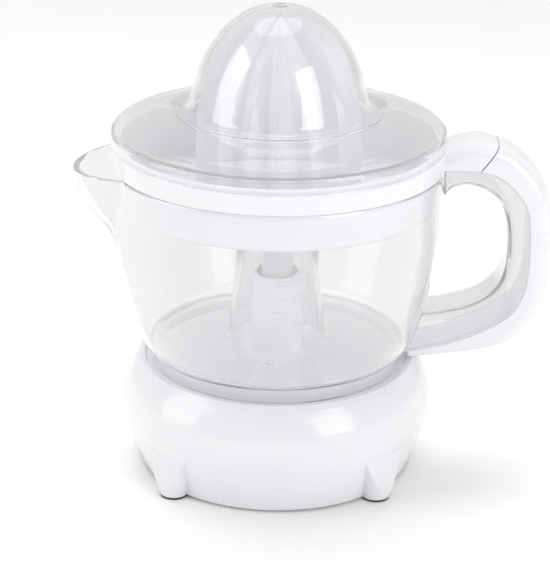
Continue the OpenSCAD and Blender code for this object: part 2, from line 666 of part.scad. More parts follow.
module stator_core() {
    mid = (leg_y[0] + leg_y[1]) / 2;
    color(c_grey) translate([0, 0, core_z]) linear_extrude(core_h) difference() {
        union() {
            for (y = leg_y) translate([core_x[0], y - leg_w / 2]) square([core_x[1] - core_x[0], leg_w]);
            translate([core_x[0], leg_y[0] - leg_w / 2]) square([yoke_w, leg_y[1] - leg_y[0] + leg_w]);
            // pole shoes
            for (s = [-1, 1]) translate([rotor_xy[0] - 10, mid + s * 9.5 - 2]) square([20, 4]);
        }
        translate(rotor_xy) circle(r = 9);
        for (x = core_screw_x, y = leg_y) translate([x, y]) circle(r = 1.7, $fn = 32);
    }
}
module bobbin(y) {
    difference() {
        union() {
            translate([bobbin_x[0], y - leg_w / 2 - 1, core_z - 1])
                cube([bobbin_x[1] - bobbin_x[0], leg_w + 2, core_h + 2]);
            for (x = [bobbin_x[0], bobbin_x[1] - 1.2])
                translate([x, y - leg_w / 2 - 4.2, core_z - 4]) cube([1.2, leg_w + 8.4, core_h + 8]);
        }
        translate([bobbin_x[0] - 1, y - leg_w / 2 - 0.1, core_z - 0.1])
            cube([bobbin_x[1] - bobbin_x[0] + 2, leg_w + 0.2, core_h + 0.2]);
    }
}
module coil_bobbins() { color(c_white) for (y = leg_y) bobbin(y); }
module coil_windings() {
    length = bobbin_x[1] - bobbin_x[0] - 2.6;
    color(c_copper) for (y = leg_y) difference() {
        translate([bobbin_x[0] + 1.3, y - leg_w / 2 - 3.6, core_z - 3.4])
            cube([length, leg_w + 7.2, core_h + 6.8]);
        translate([bobbin_x[0], y - leg_w / 2 - 1.05, core_z - 1.05])
            cube([length + 5, leg_w + 2.1, core_h + 2.1]);
    }
}
module coil_terminals() {
    color(c_brass) for (y = leg_y, s = [-1, 1])
        translate([bobbin_x[0] - 3.4, y + s * 5.6 - 0.4, core_z + core_h + 1.4]) cube([3.4, 0.8, 2]);
}
module rotor_magnet() {
    color([0.25, 0.25, 0.27]) at(rotor_xy) ring(8, 1.5, core_z, core_h);
}
module rotor_shaft() {
    color(c_steel) at(rotor_xy) union() {
        translate([0, 0, 5.2]) cylinder(r = 1, h = 28.6, $fn = 48);
        translate([0, 0, core_z - 0.6]) cylinder(r = 1.5, h = core_h + 1.2, $fn = 48);
    }
}
module rotor_bearings() {
    color(c_brass) at(rotor_xy) {
        ring(3, 1 + fit, 5.6, 2.4);
        ring(4, 1 + fit, lower_plate_z - 1, 3);
    }
}
module motor_bracket() {
    color(c_steel) difference() {
        union() {
            translate([rotor_xy[0] - 6, leg_y[0] - 4.5, core_z - 2.4])
                cube([14, leg_y[1] - leg_y[0] + 9, 1.4]);
            for (y = leg_y) translate([core_screw_x[1], y, core_z - 2.4]) cylinder(r = 3.6, h = 2.4);
            at(rotor_xy, 5.2) cylinder(r = 4.4, h = core_z - 1 - 5.2);
        }
        at(rotor_xy, 4) cylinder(r = 1.5, h = 9, $fn = 48);
        at(rotor_xy, 5.6) cylinder(r = 3, h = 9);
        for (y = leg_y) translate([core_screw_x[1], y, 0]) cylinder(r = 1.7, h = 20, $fn = 32);
    }
}
module core_screws() {
    color(c_steel) for (y = leg_y) {
        at([core_screw_x[1], y], core_z - 2.4 - 1.6) screw(2.8, 1.6, 1.2, 20.5);
        at([core_screw_x[0], y], core_z - 1.6) screw(2.8, 1.6, 1.2, 18);
    }
}

// ---------------------------------------------------------------- switch and terminals

switch_top = nose_z - 4;
module microswitch_body() {
    color(c_rubber) difference() {
        translate([-6, -3.2, plate_top_z + 4.4]) cube([20, 6.4, switch_top - plate_top_z - 4.4]);
        translate([0, 0, switch_top - 4.6]) cylinder(r = 1.5 + fit, h = 9, $fn = 48);
        for (x = [-3, 11]) translate([x, -9, 15.5]) rotate([-90, 0, 0])
            cylinder(r = 1.1, h = 18, $fn = 24);
    }
}
module switch_plunger() {
    color("firebrick") translate([0, 0, switch_top - 1.6])
        cylinder(r = 1.5, h = nose_z - 0.1 - switch_top + 1.6, $fn = 48);
}
module switch_terminals() {
    color(c_brass) for (x = [-10, 14]) translate([x, -2.4, 11]) cube([4, 4.8, 0.8]);
}
module switch_screws() {
    color(c_steel) for (x = [-3, 11]) translate([x, -3.2 - 1.2, 15.5]) rotate([-90, 0, 0])
        screw(1.8, 1.2, 0.85, 8.6);
}
module terminal_block() {
    color(c_white) difference() {
        translate([-21, 25, plate_top_z + 2.6]) cube([22, 12, 9]);
        for (x = [-17, -3]) {
            translate([x, 31, plate_top_z + 6]) cylinder(r = 2.2, h = 9, $fn = 32);
            translate([x, 20, plate_top_z + 6.4]) rotate([-90, 0, 0]) cylinder(r = 1.6, h = 20, $fn = 32);
        }
        translate([-10, 31, plate_top_z]) cylinder(r = 1.5, h = 20, $fn = 32);
        translate([-10, 31, plate_top_z + 8]) cylinder(r = 2.8, h = 9, $fn = 32);
    }
}
module terminal_screws() {
    color(c_brass) for (x = [-17, -3])
        translate([x, 31, plate_top_z + 10.4]) mirror([0, 0, 1]) screw(2, 1, 1.2, 1.6);
}
module terminal_block_screw() {
    color(c_steel) translate([-10, 31, plate_top_z + 9.2]) mirror([0, 0, 1]) screw(2.5, 1.2, 1, 8.4);
}

// Round wire along a route: rings of points, each square to the route
wire_r = 0.9;
wire_routes = [
    [[-17, 27, 9.8], [-17, 21, 9.4], [-16, 12, 9], [-15, 4, 10], [-13, 0, 11.2], [-10.02, 0, 11.4]],
    [[18.02, 0, 11.4], [21, 1, 11.6], [22.4, 5, 12], [19, 9.4, 13], [8, 10.4, 14], [-12, 10, 16],
        [-24, 4, 19.6],
        [-28.4, -3, 22.6], [-27, -7.6, 24.2], [-23.42, -7.9, 24.4]],
    [[-3, 27, 9.8], [-3.6, 21, 8], [-9, 17, 6.2], [-22, 15, 6.2], [-33, 7, 9], [-38.4, -6, 14.6],
        [-38.4, -20, 19.6],
        [-34, -29.6, 23.2], [-29, -35, 24.3], [-23.42, -36.9, 24.4]]];
function unit(v) = v / norm(v);
function wire_ring(p, i) = let (
    d = unit(p[min(i + 1, len(p) - 1)] - p[max(i - 1, 0)]),
    u = unit(cross(d, [0.02, 0.05, 1])),
    w = cross(d, u))
    [for (k = [0 : 7]) p[i] + wire_r * (cos(k * 45) * u + sin(k * 45) * w)];
module wire(route) {
    p = curve(route, 4);
    n = len(p) - 1;
    polyhedron([for (i = [0 : n]) each wire_ring(p, i)],
        concat([[for (k = [7 : -1 : 0]) k]],
            [for (i = [0 : n - 1], k = [0 : 7]) [i * 8 + k, i * 8 + (k + 1) % 8,
                (i + 1) * 8 + (k + 1) % 8, (i + 1) * 8 + k]],
            [[for (k = [0 : 7]) n * 8 + k]]), convexity = 10);
}
module lead_wires() { color([0.25, 0.45, 0.75]) for (r = wire_routes) wire(r); }

dust_cover();
reamer_cone();
strainer_bowl();
jug();
handle_cover();
base_housing();
base_cover();
foot_pads();
cover_screws();
cord_gland();
tower_bush();
spindle_bush();
spindle_seal();
drive_spindle();
spindle_clip();
thrust_washer();
return_spring();
output_gear();
second_gear();
first_gear();
gear_axles();
gearbox_plate();
gearbox_cover();
gearbox_screws();
mounting_grommets();
mounting_screws();
stator_core();
coil_bobbins();
coil_windings();
coil_terminals();
rotor_magnet();
rotor_shaft();
motor_pinion();
rotor_bearings();
motor_bracket();
core_screws();
microswitch_body();
switch_plunger();
switch_terminals();
switch_screws();
terminal_block();
terminal_screws();
terminal_block_screw();
lead_wires();
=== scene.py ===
"""Citrus press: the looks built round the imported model, in metres, in the model's own frame.

The drive's axis is Z, the floor is z = 0, the spout points to -X and the handle to +X.
"""

import json
import math

import bmesh
import bpy
from mathutils import Matrix, Vector


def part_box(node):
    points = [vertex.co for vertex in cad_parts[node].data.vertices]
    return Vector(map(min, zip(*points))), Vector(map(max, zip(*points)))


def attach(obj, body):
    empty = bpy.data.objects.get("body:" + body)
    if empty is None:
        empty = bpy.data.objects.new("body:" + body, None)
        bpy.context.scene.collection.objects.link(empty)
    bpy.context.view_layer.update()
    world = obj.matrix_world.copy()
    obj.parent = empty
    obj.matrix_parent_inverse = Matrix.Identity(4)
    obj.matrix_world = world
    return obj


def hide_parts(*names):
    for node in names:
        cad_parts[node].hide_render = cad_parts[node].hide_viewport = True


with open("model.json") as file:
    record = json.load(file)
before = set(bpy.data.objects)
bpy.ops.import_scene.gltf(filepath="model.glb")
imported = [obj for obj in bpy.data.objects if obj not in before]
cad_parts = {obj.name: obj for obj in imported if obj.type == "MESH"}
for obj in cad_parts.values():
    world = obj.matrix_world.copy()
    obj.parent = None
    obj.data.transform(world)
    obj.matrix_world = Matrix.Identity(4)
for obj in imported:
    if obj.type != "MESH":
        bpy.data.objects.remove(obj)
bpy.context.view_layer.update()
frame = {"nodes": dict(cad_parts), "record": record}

MM = 0.001
TAU = 2 * math.pi

# ---------------------------------------------------------------- sizes taken from the frame


def low(node):
    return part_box(node)[0]


def high(node):
    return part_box(node)[1]


TOP_Z = high("dust_cover").z
COVER_Z = low("dust_cover").z
COVER_R = high("dust_cover").x
JUG_R = high("jug").y
JUG_Z = low("jug").z
RIM_Z = high("jug").z
SPOUT_REACH = -low("jug").x
HANDLE_W = high("handle_cover").y - low("handle_cover").y
RING_Z = RIM_Z + 0.2 * MM
RING_TOP = COVER_Z - 0.1 * MM
REAMER_TOP = high("reamer_cone").z
REAMER_Z = low("reamer_cone").z
STRAINER_Z = RIM_Z - 16.5 * MM

WALL = 2.2 * MM
SPOUT_DIP = 2.3 * MM
SPOUT_FOOT_Z = 100 * MM
SPOUT_HEIGHT = 34 * MM
FLOOR_Z = JUG_Z + 7.9 * MM
SKIRT_R = 54 * MM
COLUMN_R = 17.6 * MM

# ---------------------------------------------------------------- curves and meshes


def curve(points, steps=6):
    """A smooth curve through the points."""
    out = []
    last = len(points) - 1
    for i in range(last):
        p, q = Vector(points[max(i - 1, 0)]), Vector(points[i])
        r, s = Vector(points[i + 1]), Vector(points[min(i + 2, last)])
        for k in range(steps):
            t = k / steps
            line = 2 * q + (r - p) * t
            bend = (2 * p - 5 * q + 4 * r - s) * t * t
            out.append(0.5 * (line + bend + (3 * q - p - 3 * r + s) * t**3))
    return out + [Vector(points[last])]


def mm(points):
    return [tuple(v * MM for v in p) for p in points]


def arc(centre, radius, a, b, steps=6):
    """Points on an arc, angles in degrees."""
    out = []
    for i in range(steps + 1):
        t = math.radians(a + (b - a) * i / steps)
        out.append(Vector((centre[0] + radius * math.cos(t), centre[1] + radius * math.sin(t))))
    return out


def new_object(name, verts, faces, smooth_angle=35):
    mesh = bpy.data.meshes.new(name)
    mesh.from_pydata([tuple(v) for v in verts], [], faces)
    bm = bmesh.new()
    bm.from_mesh(mesh)
    bmesh.ops.remove_doubles(bm, verts=bm.verts, dist=1e-6)
    bmesh.ops.recalc_face_normals(bm, faces=bm.faces)
    limit = math.radians(smooth_angle)
    for face in bm.faces:
        face.smooth = True
    for edge in bm.edges:
        if len(edge.link_faces) == 2 and edge.calc_face_angle(0) > limit:
            edge.smooth = False
    bm.to_mesh(mesh)
    bm.free()
    obj = bpy.data.objects.new(name, mesh)
    bpy.context.scene.collection.objects.link(obj)
    return obj


def revolve(name, profile, segments=144, shape=None, smooth_angle=35):
    """A closed solid of revolution. profile is a closed loop of (r, z); points with r = 0 lie on the axis.
    shape(r, z, angle, i) may move a point: it returns (r, z)."""
    verts, faces, n = [], [], len(profile)
    for s in range(segments):
        a = TAU * s / segments
        for i, (r, z) in enumerate(profile):
            if shape:
                r, z = shape(r, z, a, i)
            verts.append((r * math.cos(a), r * math.sin(a), z))
    for s in range(segments):
        t = (s + 1) % segments
        for i in range(n):
            j = (i + 1) % n
            if profile[i][0] < 1e-7 and profile[j][0] < 1e-7:
                continue
            if profile[i][0] < 1e-7:
                faces.append((s * n + i, s * n + j, t * n + j))
            elif profile[j][0] < 1e-7:
                faces.append((s * n + i, s * n + j, t * n + i))
            else:
                faces.append((s * n + i, s * n + j, t * n + j, t * n + i))
    return new_object(name, verts, faces, smooth_angle)


def boolean(target, tool, operation):
    """Applies a boolean and deletes the tool."""
    mod = target.modifiers.new("cut", "BOOLEAN")
    mod.operation = operation
    mod.solver = "EXACT"
    mod.object = tool
    bpy.context.view_layer.update()
    done = bpy.data.meshes.new_from_object(target.evaluated_get(bpy.context.evaluated_depsgraph_get()))
    target.modifiers.clear()
    target.data = done
    bpy.data.objects.remove(tool)


def section_loft(name, sections, smooth_angle):
    """A solid through sections, each a closed list of points; the ends are capped."""
    n = len(sections[0])
    verts = [p for sec in sections for p in sec]
    faces = []
    for s in range(len(sections) - 1):
        t = s + 1
        for i in range(n):
            j = (i + 1) % n
            faces.append((s * n + i, s * n + j, t * n + j, t * n + i))
    faces.append(tuple(range(n))[::-1])
    faces.append(tuple(range((len(sections) - 1) * n, len(sections) * n)))
    return new_object(name, verts, faces, smooth_angle)


# ---------------------------------------------------------------- materials


def nodes_of(name):
    mat = bpy.data.materials.new(name)
    mat.use_nodes = True
    tree = mat.node_tree
    shader = tree.nodes["Principled BSDF"]
    return mat, tree, shader


def noise(tree, scale, detail=3.0, roughness=0.5):
    coords = tree.nodes.new("ShaderNodeTexCoord")
    tex = tree.nodes.new("ShaderNodeTexNoise")
    tex.inputs["Scale"].default_value = scale
    tex.inputs["Detail"].default_value = detail
    tex.inputs["Roughness"].default_value = roughness
    tree.links.new(coords.outputs["Object"], tex.inputs["Vector"])
    return tex


def ramp(tree, source, stops):
    node = tree.nodes.new("ShaderNodeValToRGB")
    while len(node.color_ramp.elements) < len(stops):
        node.color_ramp.elements.new(0.5)
    for element, (pos, colour) in zip(node.color_ramp.elements, stops):
        element.position = pos
        element.color = (*colour, 1)
    tree.links.new(source, node.inputs["Fac"])
    return node


def spread(tree, source, lowest, highest):
    node = tree.nodes.new("ShaderNodeMapRange")
    node.inputs["To Min"].default_value = lowest
    node.inputs["To Max"].default_value = highest
    tree.links.new(source, node.inputs["Value"])
    return node


def bump(tree, shader, source, distance, strength=1.0):
    node = tree.nodes.new("ShaderNodeBump")
    node.inputs["Distance"].default_value = distance
    node.inputs["Strength"].default_value = strength
    tree.links.new(source, node.inputs["Height"])
    tree.links.new(node.outputs["Normal"], shader.inputs["Normal"])


def moulded(name, colour, rough, texture=0.0012 * MM, vary=0.012, grain=420.0, coat=0.0):
    """Moulded plastic: a faint drift of colour, a slightly uneven gloss and a fine skin."""
    mat, tree, shader = nodes_of(name)
    drift = noise(tree, 22.0, 2.0)
    dark = tuple(c * (1 - vary) for c in colour)
    tint = ramp(tree, drift.outputs["Fac"], [(0.3, dark), (0.7, colour)])
    tree.links.new(tint.outputs["Color"], shader.inputs["Base Color"])
    skin = noise(tree, grain, 4.0, 0.6)
    gloss = spread(tree, skin.outputs["Fac"], rough * 0.85, rough * 1.2)
    tree.links.new(gloss.outputs["Result"], shader.inputs["Roughness"])
    bump(tree, shader, skin.outputs["Fac"], texture)
    shader.inputs["Coat Weight"].default_value = coat
    shader.inputs["Coat Roughness"].default_value = 0.08
    shader.inputs["IOR"].default_value = 1.5
    return mat


def clear(name, colour, ior, rough=0.02, veil=0.14):
    """Clear moulded plastic with a faint milky veil, which lets light through to what is behind it."""
    mat, tree, shader = nodes_of(name)
    shader.inputs["Base Color"].default_value = (*colour, 1)
    shader.inputs["Transmission Weight"].default_value = 1 - veil
    shader.inputs["IOR"].default_value = ior
    shader.inputs["Coat Weight"].default_value = 1.0
    shader.inputs["Coat Roughness"].default_value = 0.02
    skin = noise(tree, 60.0, 2.0)
    gloss = spread(tree, skin.outputs["Fac"], rough * 0.6, rough * 1.4)
    tree.links.new(gloss.outputs["Result"], shader.inputs["Roughness"])
    flow = noise(tree, 18.0, 1.0)
    bump(tree, shader, flow.outputs["Fac"], 0.05 * MM, 0.25)
    path = tree.nodes.new("ShaderNodeLightPath")
    either = tree.nodes.new("ShaderNodeMath")
    either.operation = "MAXIMUM"
    tree.links.new(path.outputs["Is Shadow Ray"], either.inputs[0])
    tree.links.new(path.outputs["Is Diffuse Ray"], either.inputs[1])
    through = tree.nodes.new("ShaderNodeBsdfTransparent")
    through.inputs["Color"].default_value = (0.985, 0.985, 0.988, 1)
    mix = tree.nodes.new("ShaderNodeMixShader")
    out = tree.nodes["Material Output"]
    tree.links.new(either.outputs[0], mix.inputs["Fac"])
    tree.links.new(shader.outputs["BSDF"], mix.inputs[1])
    tree.links.new(through.outputs["BSDF"], mix.inputs[2])
    tree.links.new(mix.outputs["Shader"], out.inputs["Surface"])
    return mat


def metal(name, colour, rough):
    """Bare metal with a faint stain and fine lines in its gloss."""
    mat, tree, shader = nodes_of(name)
    shader.inputs["Metallic"].default_value = 1.0
    stain = noise(tree, 300.0, 3.0)
    tint = ramp(tree, stain.outputs["Fac"], [(0.35, tuple(c * 0.88 for c in colour)), (0.65, colour)])
    tree.links.new(tint.outputs["Color"], shader.inputs["Base Color"])
    lines = noise(tree, 1600.0, 2.0)
    gloss = spread(tree, lines.outputs["Fac"], rough * 0.75, rough * 1.25)
    tree.links.new(gloss.outputs["Result"], shader.inputs["Roughness"])
    bump(tree, shader, lines.outputs["Fac"], 0.01 * MM)
    return mat


def striped(name, colour, rough, pitch, axis, metallic=0.0, depth=0.1 * MM):
    """Stacked sheets or wound wire: fine parallel lines along one axis."""
    mat, tree, shader = nodes_of(name)
    coords = tree.nodes.new("ShaderNodeTexCoord")
    split = tree.nodes.new("ShaderNodeSeparateXYZ")
    tree.links.new(coords.outputs["Object"], split.inputs["Vector"])
    wave = tree.nodes.new("ShaderNodeMath")
    wave.operation = "MULTIPLY"
    wave.inputs[1].default_value = TAU / pitch
    tree.links.new(split.outputs[axis], wave.inputs[0])
    sine = tree.nodes.new("ShaderNodeMath")
    sine.operation = "SINE"
    tree.links.new(wave.outputs[0], sine.inputs[0])
    level = spread(tree, sine.outputs[0], 0, 1)
    level.inputs["From Min"].default_value = -1
    tint = ramp(tree, level.outputs["Result"], [(0.05, tuple(c * 0.45 for c in colour)), (0.45, colour)])
    tree.links.new(tint.outputs["Color"], shader.inputs["Base Color"])
    rub = noise(tree, 700.0, 3.0)
    gloss = spread(tree, rub.outputs["Fac"], rough * 0.8, rough * 1.25)
    tree.links.new(gloss.outputs["Result"], shader.inputs["Roughness"])
    shader.inputs["Metallic"].default_value = metallic
    bump(tree, shader, level.outputs["Result"], depth)
    return mat


WHITE = (0.84, 0.832, 0.86)
materials = {
    "white_gloss": moulded("white_gloss_abs", WHITE, 0.16, vary=0.008, coat=0.3),
    "white_satin": moulded("white_satin_abs", (0.76, 0.76, 0.78), 0.42, 0.02 * MM),
    "clear_plastic": clear("clear_styrene", (0.905, 0.9, 0.91), 1.28),
    "grey_plastic": moulded("grey_abs", (0.60, 0.60, 0.63), 0.38, 0.015 * MM, 0.05),
    "acetal": moulded("acetal", (0.80, 0.78, 0.72), 0.34, 0.01 * MM, 0.03),
    "black_plastic": moulded("black_phenolic", (0.03, 0.03, 0.033), 0.4, 0.02 * MM, 0.2),
    "red_plastic": moulded("red_abs", (0.5, 0.05, 0.04), 0.3, 0.01 * MM, 0.1),
    "grey_rubber": moulded("grey_rubber", (0.05, 0.05, 0.055), 0.62, 0.04 * MM, 0.3, 1400.0),
    "steel": metal("zinc_steel", (0.62, 0.63, 0.65), 0.32),
    "core_steel": striped("laminations", (0.25, 0.26, 0.28), 0.45, 0.5 * MM, "Z", 0.8),
    "brass": metal("brass", (0.75, 0.56, 0.25), 0.28),
    "bronze": metal("sintered_bronze", (0.45, 0.32, 0.2), 0.5),
    "copper": striped("enamelled_copper", (0.62, 0.24, 0.09), 0.3, 0.28 * MM, "X", 0.9, 0.08 * MM),
    "ferrite": moulded("ferrite", (0.06, 0.06, 0.063), 0.55, 0.03 * MM, 0.25),
    "wire_blue": moulded("wire_sleeve", (0.04, 0.13, 0.40), 0.4, 0.01 * MM, 0.1),
}


def dress(obj, slot):
    obj.data.materials.clear()
    obj.data.materials.append(materials[slot])


def piece(obj, body, slot, *stands_for):
    dress(obj, slot)
    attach(obj, body)
    if stands_for:
        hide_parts(*stands_for)
    return obj


for part in frame["record"]["subparts"]:
    dress(frame["nodes"][part["node"]], part["material_slot"])

# ---------------------------------------------------------------- dust cover


def dust_cover():
    """The clear cover: a ring wall, a gently rising plate and a dome."""
    wall = 1.9 * MM
    r, z0, top = COVER_R, RING_TOP, TOP_Z
    outer = [Vector((r - 0.4 * MM, COVER_Z)), Vector((r, COVER_Z + 0.4 * MM)), Vector((r, z0 + 4.9 * MM))]
    outer += arc((r - 2.6 * MM, z0 + 4.9 * MM), 2.6 * MM, 20, 90, 6)
    z0_mm = z0 / MM
    plate = [(r / MM - 4.6, z0_mm + 7.6), (60, z0_mm + 9.4), (50, z0_mm + 12.2), (43, z0_mm + 13.8)]
    outer += [Vector(p) for p in mm(plate)]
    # a small step marks the foot of the dome on the outside only
    crease = [Vector(p) for p in mm([(42.9, z0_mm + 14.4), (42.3, z0_mm + 14.6)])]
    creased = outer + crease
    top_mm = top / MM
    foot = z0_mm + 15
    dome = [(40.6, foot - 0.1), (38.6, foot + 0.7), (37.4, foot + 2.4)]
    dome += [(36.4, foot + 5.4), (34.7, foot + 10.6)]
    dome += [(32.5, top_mm - 25), (27.9, top_mm - 16.5), (20.8, top_mm - 8)]
    dome += [(11.2, top_mm - 1.9), (0, top_mm)]
    outer += curve(mm(dome), 8)
    creased += curve(mm(dome), 8)
    inner = []
    for i, p in enumerate(outer):
        a, b = outer[max(i - 1, 0)], outer[min(i + 1, len(outer) - 1)]
        t = (b - a).normalized()
        inner.append(p + wall * Vector((-t.y, t.x)))
    inner[0] = Vector((r - wall, COVER_Z))
    inner[1] = Vector((r - wall, COVER_Z + 0.4 * MM))
    inner = [p for p in inner if p.x > 0.3 * MM] + [Vector((0, top - wall))]
    obj = revolve("dust_cover_clear", creased + inner[::-1], 160, smooth_angle=40)
    # the gate mark of the mould on the apex
    gate_low, gate_high = top - 1.2 * MM, top - 0.05 * MM
    gate = [(2.2 * MM, gate_low), (3.0 * MM, gate_low), (2.9 * MM, gate_high), (2.3 * MM, gate_high)]
    boolean(obj, revolve("gate", gate, 40), "UNION")
    return piece(obj, "cover", "clear_plastic", "dust_cover")


# ---------------------------------------------------------------- reamer


RIBS = 8
RIB_SHARPNESS = 2.4


def reamer():
    """A cone of eight long ribs with a shorter rib between each two, hollow underneath."""
    top = REAMER_TOP / MM
    foot = REAMER_Z / MM + 2
    ridge = [(34.6, foot), (34.3, 150), (32.8, 159), (29.9, 169.6), (25.6, top - 14.6)]
    ridge += [(19, top - 7), (10.4, top - 1.9), (0, top)]
    valley = [(27.6, foot), (27.2, 150), (25.4, 159), (22.3, 169.2), (18.0, top - 16.2)]
    valley += [(12.4, top - 10), (6.2, top - 4.8), (0, top)]
    half = [(32.8, foot), (32.0, 150), (28.6, 159), (22.6, 169.2), (18.1, top - 16.1)]
    half += [(12.4, top - 10), (6.2, top - 4.8), (0, top)]
    rows = list(zip(curve(ridge, 7), curve(valley, 7), curve(half, 7)))
    per_rib = 24
    segments = 2 * RIBS * per_rib
    verts, faces = [], []
    count = len(rows)
    for s in range(segments):
        a = TAU * s / segments - math.pi / 2
        k, f = divmod(s, per_rib)
        u = f / per_rib
        # u runs from one rib's crest to the next; even crests are long ribs and odd ones short
        start_long = k % 2 == 0
        crest = 1 - u if u < 0.5 else u
        near_long = (u < 0.5) == start_long
        rise = max(0.0, (crest - 0.5) * 2)
        lift = rise**RIB_SHARPNESS
        for p_ridge, p_valley, p_half in rows:
            target = p_ridge if near_long else p_half
            p = p_valley.lerp(target, lift)
            verts.append((p.x * MM * math.cos(a), p.x * MM * math.sin(a), p.y * MM))
    for s in range(segments):
        t = (s + 1) % segments
        for i in range(count - 1):
            a, b, c, d = s * count + i, s * count + i + 1, t * count + i + 1, t * count + i
            faces.append((a, b, c) if i == count - 2 else (a, b, c, d))
    # the foot flange and the hollow underneath
    flange = [(36, foot), (36, foot - 2), (26.8, foot - 2)]
    hollow = [(26.4, foot - 1), (25.2, 150), (22.8, 160), (18.2, 172), (10.6, top - 13), (0, top - 9)]
    loop = [Vector(p) for p in flange] + curve(hollow, 4)
    base = len(verts)
    m = len(loop)
    for s in range(segments):
        a = TAU * s / segments - math.pi / 2
        for r, z in loop:
            verts.append((r * MM * math.cos(a), r * MM * math.sin(a), z * MM))
    for s in range(segments):
        t = (s + 1) % segments
        here, there = base + s * m, base + t * m
        faces.append((s * count, t * count, there, here))
        for i in range(m - 1):
            faces.append((here + i, there + i, there + i + 1, here + i + 1))
    obj = new_object("reamer_ribbed", verts, faces, 50)
    socket = [(7.7, foot - 1), (9.6, foot - 1), (9.6, foot + 42), (7.7, foot + 42)]
    boolean(obj, revolve("socket", mm(socket), 48), "UNION")
    return piece(obj, "reamer", "white_gloss", "reamer_cone")


# ---------------------------------------------------------------- strainer


TAB = [(82.7, 134.2), (90.3, 143.9)]


def across(section, start, end):
    """Places a section between two points: it is given as (y, share of the way, offset along it)."""
    axis = (end - start).normalized()
    out = []
    for y, share, offset in section:
        p = start + (end - start) * share + axis * offset
        out.append((p.x, y, p.y))
    return out


def rounded_back(span):
    """Section of the handle's white back, with well rounded shoulders."""
    half = HANDLE_W / 2
    shoulder = min(6.6 * MM, span.length * 0.82)
    side = 7.8 * MM
    line = [(half - 0.5 * MM, 0, 0.0), (half, 0, 0.5 * MM)]
    line += [
        (half - side + side * math.cos(t) ** 0.8, 1, -shoulder + shoulder * math.sin(t) ** 0.9)
        for t in [math.pi / 2 * i / 9 for i in range(10)]
    ]
    line += [(half * 0.18, 1, 0.12 * MM)]
    return line + [(-y, share, offset) for y, share, offset in line[::-1]]


def strainer():
    """A shallow dish with drain slots, the white ring above the jug's rim and the handle's tab."""
    r_in = JUG_R - 2.8 * MM
    ring_low, ring_high = RING_Z, RING_TOP
    corner = 4.6 * MM
    centre = (r_in - corner, STRAINER_Z + corner)
    lip_r, lip_high = 66.6 * MM, ring_high + 1.8 * MM
    outer = [Vector((JUG_R - 0.5 * MM, ring_low)), Vector((JUG_R, ring_low + 0.5 * MM))]
    outer += [Vector((JUG_R, ring_high - 0.6 * MM)), Vector((JUG_R - 0.6 * MM, ring_high))]
    outer += [Vector((lip_r, ring_high)), Vector((lip_r, ring_high + 1.5 * MM))]
    outer += [Vector((66.2 * MM, lip_high)), Vector((65.2 * MM, lip_high))]
    outer += [Vector((r_in - 2 * MM, RIM_Z - 2 * MM))]
    outer += arc(centre, corner - 2 * MM, 0, -90, 6)
    floor = STRAINER_Z / MM
    outer += [Vector(p) for p in mm([(9.4, floor + 2), (9.2, floor + 5), (7.6, floor + 5), (7.4, floor)])]
    outer += arc(centre, corner, -90, 0, 8)
    outer += [Vector((r_in, ring_low))]
    obj = revolve("strainer_white", outer, 180)
    # drain slots
    verts, faces = [], []
    slots = 36
    slot_in, slot_out, slot_r = 38.8 * MM, 57.2 * MM, 0.85 * MM
    for i in range(slots):
        a = TAU * i / slots
        along = Vector((math.cos(a), math.sin(a), 0))
        aside = Vector((-math.sin(a), math.cos(a), 0))
        base = len(verts)
        for z in (STRAINER_Z - 1 * MM, STRAINER_Z + 3 * MM):
            for k in range(12):
                t = TAU * k / 12
                end = slot_out if math.cos(t) > 0 else slot_in
                p = along * (end + slot_r * math.cos(t)) + aside * slot_r * math.sin(t)
                verts.append((p.x, p.y, z))
        faces += [tuple(range(base + 11, base - 1, -1)), tuple(range(base + 12, base + 24))]
        for k in range(12):
            m = (k + 1) % 12
            faces.append((base + k, base + m, base + 12 + m, base + 12 + k))
    boolean(obj, new_object("slots", verts, faces), "DIFFERENCE")
    # collar that centres the strainer in the jug's column
    collar = [(13.1, floor - 4), (13.3, floor - 4.3), (14.6, floor - 4.3), (14.9, floor - 4)]
    collar += [(14.9, floor + 0.5), (13.1, floor + 0.5)]
    boolean(obj, revolve("collar", mm(collar), 96), "UNION")
    # the tab over the root of the handle
    jug_r, ring_z = JUG_R / MM, RING_Z / MM
    below = curve(mm([(jug_r - 1.6, ring_z), (74, ring_z), (78.4, ring_z), TAB[0]]), 8)
    above = curve(mm([(jug_r - 1.2, RING_TOP / MM - 0.2), (75.2, 144.6), (82.6, 145.9), TAB[1]]), 8)
    sections = [across(rounded_back(b - a), a, b) for a, b in zip(below, above)]
    boolean(obj, section_loft("tab", sections, smooth_angle=38), "UNION")
    return piece(obj, "strainer", "white_gloss", "strainer_bowl")


# ---------------------------------------------------------------- jug


def jug_wall_curve():
    """Side outline of the jug's wall, from its foot to the rim."""
    foot = FLOOR_Z / MM
    line = [(56.9, foot + 0.6), (59.9, 63.0), (62.6, 72.2), (66.6, 87.6)]
    line += [(68.6, 98), (69.4, 107), (69.4, 120), (69.4, RIM_Z / MM)]
    scale = JUG_R / (69.4 * MM)
    return [Vector((p.x * scale, p.y)) * MM for p in curve(line, 5)]


def spout_reach_at(z):
    """How far the spout's underside stands out at a height, from its side view."""
    side = [(69.4, 98), (69.5, 101.4), (72.3, 106), (77.4, 111.6)]
    side += [(80.9, 116.6), (83.7, 121.9), (85.1, 127.1), (85.5, 134)]
    line = curve(mm(side), 4)
    if z <= line[0].y:
        return 0.0
    for p, q in zip(line, line[1:]):
        if z <= q.y:
            reach = p.x + (q.x - p.x) * (z - p.y) / (q.y - p.y)
            return reach * SPOUT_REACH / (85.5 * MM)
    return SPOUT_REACH


